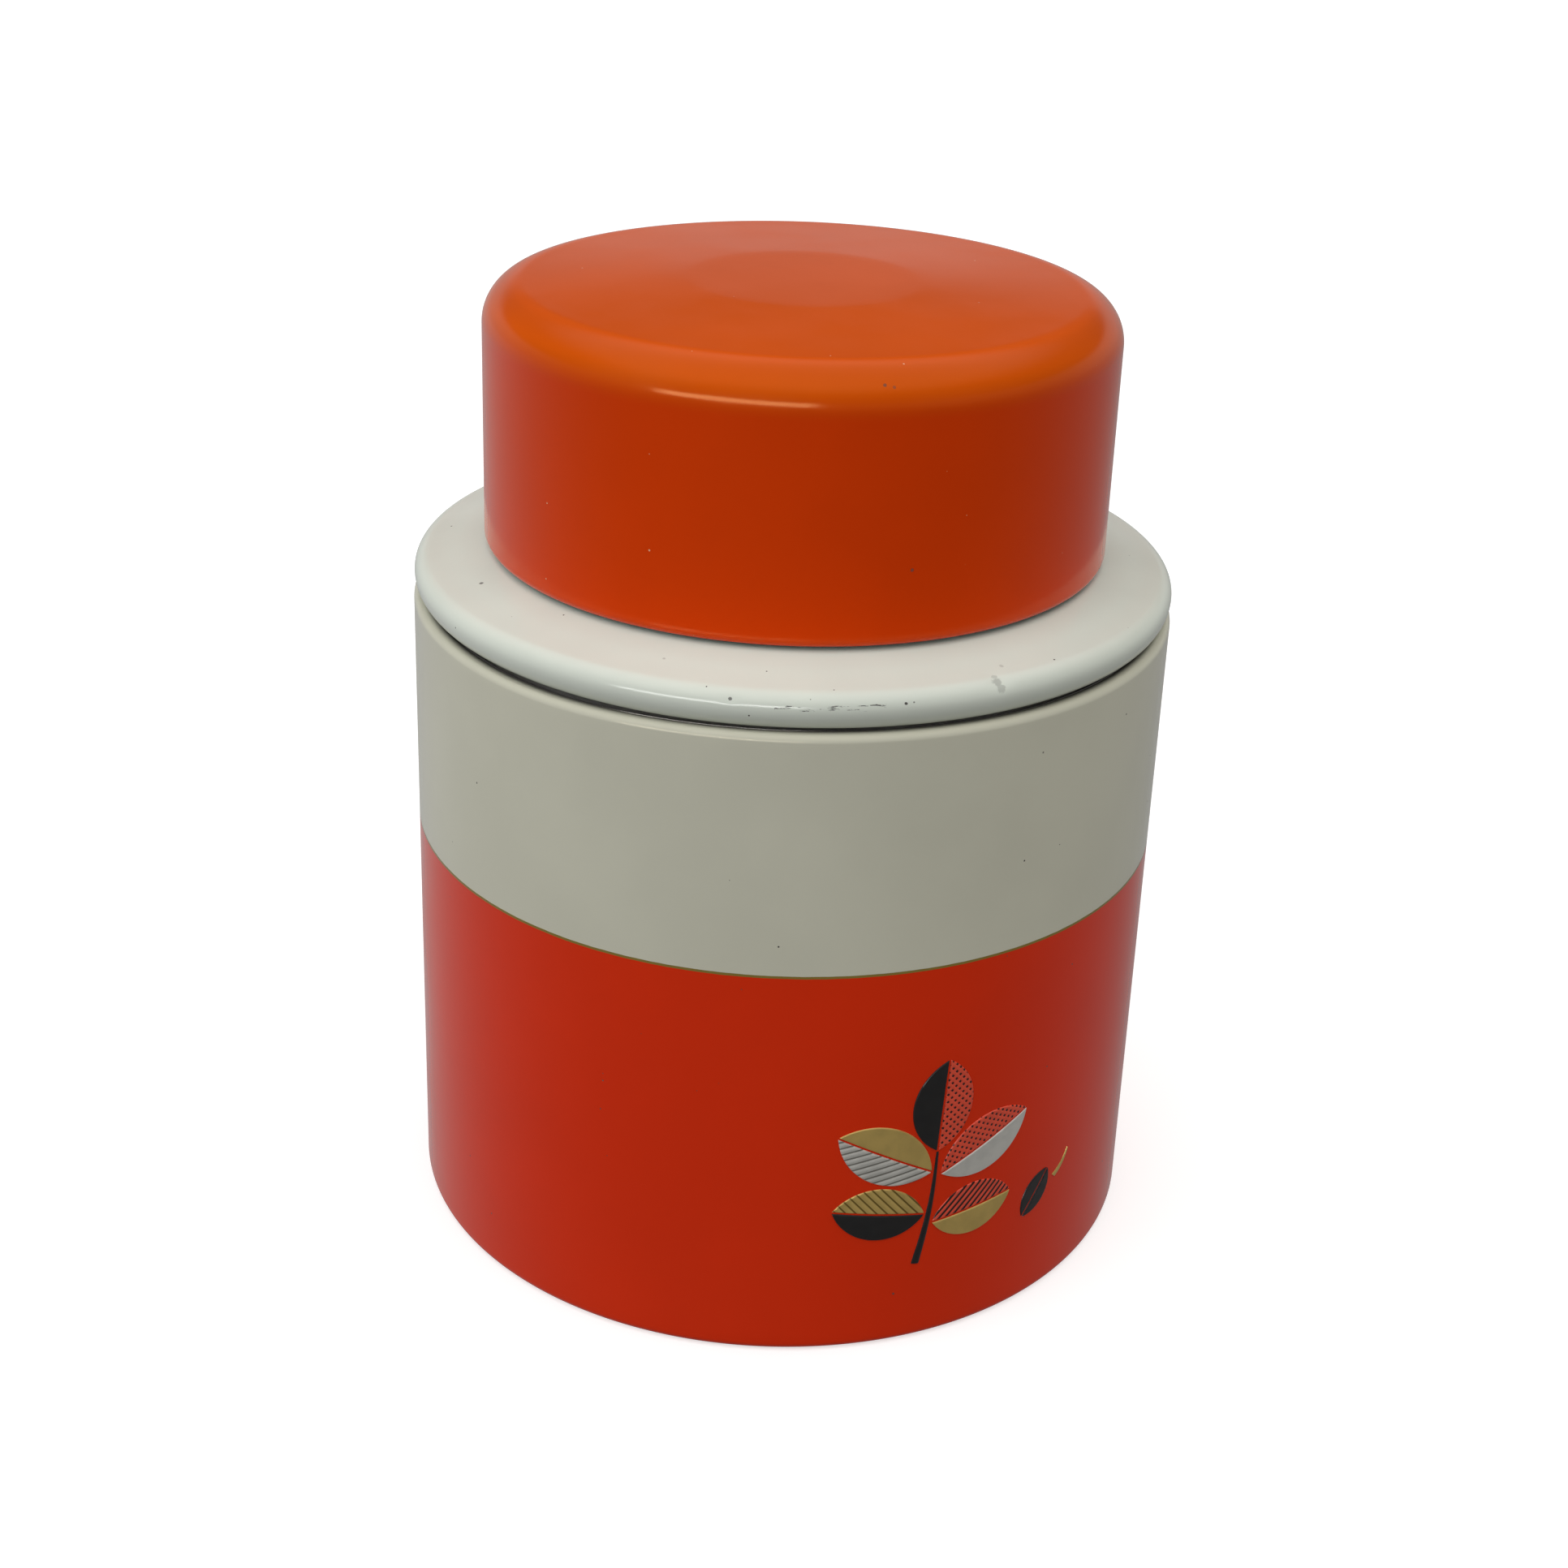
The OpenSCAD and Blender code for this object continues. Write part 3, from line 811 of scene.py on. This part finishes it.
# ---------------------------------------------------------------- stage, light and camera
def stage_sweep(flat=2200, bend=800, top=2600):
    """Pale seamless sweep: a floor that bends up all round into a wall, turned round the tin's axis.

    The floor lies 0.1 mm below the ground, so that the foot never fights it. Reflections don't show it.
    """
    white = coat(fresh("matt_white_sweep")[0], Base_Color=linear("#C9C9C7"), Roughness=0.9,
                 Emission_Color=linear("#FFFFFF"), Emission_Strength=0.6)
    line = np.concatenate([[(0, 0), (1, 0)], arc(flat, bend, bend, -90, 0, 16), [(flat + bend, top)]])
    sweep = turned("sweep", line - [0, 0.1], [white], around=evenly(96))
    sweep.visible_glossy = False
    sweep.visible_diffuse = False
    sweep.visible_shadow = False


def toward(azimuth, elevation, distance):
    """Point in that direction from the middle of the tin; azimuth is counted from the camera's own."""
    a, e = math.radians(azimuth + CAMERA_AZIMUTH), math.radians(elevation)
    middle = Vector((0, 0, CAP_TOP * MM / 2))
    return middle + distance * Vector((math.sin(a) * math.cos(e), -math.cos(a) * math.cos(e), math.sin(e)))


def softbox(name, azimuth, elevation, distance, wide, high, radiance, tint="#FFFFFF"):
    """Rectangular area light of the given radiance, facing the middle of the tin."""
    data = bpy.data.lights.new(name, "AREA")
    data.shape = "RECTANGLE"
    data.size, data.size_y = wide, high
    data.energy = radiance * math.pi * wide * high
    data.color = linear(tint)[:3]
    made = bpy.data.objects.new(name, data)
    bpy.context.scene.collection.objects.link(made)
    made.location = toward(azimuth, elevation, distance)
    aim = toward(0, 0, 0) - made.location
    made.rotation_euler = aim.to_track_quat("-Z", "Y").to_euler()
    return made


def sky_panel(azimuth, elevation, strength, spread):
    """Very soft light from far away, spread degrees wide, that reflections don't show."""
    data = bpy.data.lights.new("overhead", "SUN")
    data.energy = strength
    data.angle = math.radians(spread)
    made = bpy.data.objects.new("overhead", data)
    bpy.context.scene.collection.objects.link(made)
    aim = toward(0, 0, 0) - toward(azimuth, elevation, 1)
    made.rotation_euler = aim.to_track_quat("-Z", "Y").to_euler()
    made.visible_glossy = False


def surroundings():
    """World light by direction: dim below the horizon, a pale haze behind the tin that falls off upwards."""
    world = bpy.data.worlds.new("studio")
    world.use_nodes = True
    tree = world.node_tree
    tree.nodes.clear()
    way = add(tree, "TexCoord", out="Generated")
    height = add(tree, "SeparateXYZ", way, out="Z")
    a = math.radians(CAMERA_AZIMUTH)
    behind = add(tree, "VectorMath", way, (-math.sin(a), math.cos(a), 0), operation="DOT_PRODUCT")
    left = add(tree, "VectorMath", way, (-math.cos(a), -math.sin(a), 0), operation="DOT_PRODUCT")
    side = add(tree, "MapRange", left, -0.8, 0.8, 0.62, 1.0, **SMOOTH)
    ground = add(tree, "MapRange", behind, -0.7, 0.65, 0.17, 0.47, **SMOOTH)
    low = add(tree, "Math", side, ground, operation="MULTIPLY")
    haze = add(tree, "MapRange", behind, -0.2, 0.6, 0.25, 0.36, **SMOOTH)
    thinner = add(tree, "MapRange", height, 0.17, 0.27, 1.0, 0.12, **SMOOTH)
    zenith = add(tree, "MapRange", height, 0.5, 0.85, 0.0, 0.65, **SMOOTH)
    high = add(tree, "Math", haze, thinner, zenith, operation="MULTIPLY_ADD")
    horizon = add(tree, "MapRange", height, -0.08, 0.0, **SMOOTH)
    glow = add(tree, "Background", (1, 1, 1, 1), add(tree, "Mix", horizon, low, high))
    add(tree, "OutputWorld", glow)
    bpy.context.scene.world = world


def studio_camera():
    """Camera 302 mm from the tin's axis and 200 mm up, looking 23 degrees down with a slight roll."""
    tilt, pan, roll = 0.4032, -0.0021, 0.0384
    ahead = Vector((math.sin(pan) * math.cos(tilt), math.cos(pan) * math.cos(tilt), -math.sin(tilt)))
    level = Vector((math.cos(pan), -math.sin(pan), 0))
    upright = level.cross(ahead)
    right = math.cos(roll) * level + math.sin(roll) * upright
    up = -math.sin(roll) * level + math.cos(roll) * upright
    place = Matrix((right, up, -ahead)).transposed().to_4x4()
    place.translation = (0, -0.3019, 0.1997)
    data = bpy.data.cameras.new("camera")
    data.lens = 55.41
    data.shift_y = -0.060
    data.clip_start = 0.01
    made = bpy.data.objects.new("camera", data)
    made.matrix_world = Matrix.Rotation(math.radians(CAMERA_AZIMUTH), 4, "Z") @ place
    bpy.context.scene.collection.objects.link(made)
    bpy.context.scene.camera = made


CAMERA_AZIMUTH = -24.8
stage_sweep()
surroundings()
sky_panel(-25, 88, 1.52, 100)
softbox("left_key", -62, 30, 1.4, 0.9, 0.9, 1.9, "#F4F8FF").visible_glossy = False
softbox("right_fill", 60, 12, 1.4, 1.0, 0.8, 0.75).visible_glossy = False
softbox("front_fill", -20, 18, 1.4, 0.8, 0.8, 0.95).visible_glossy = False
softbox("window", -22, 10, 1.5, 1.5, 0.24, 10.0).visible_diffuse = False
studio_camera()
bpy.context.scene.view_settings.view_transform = "Standard"
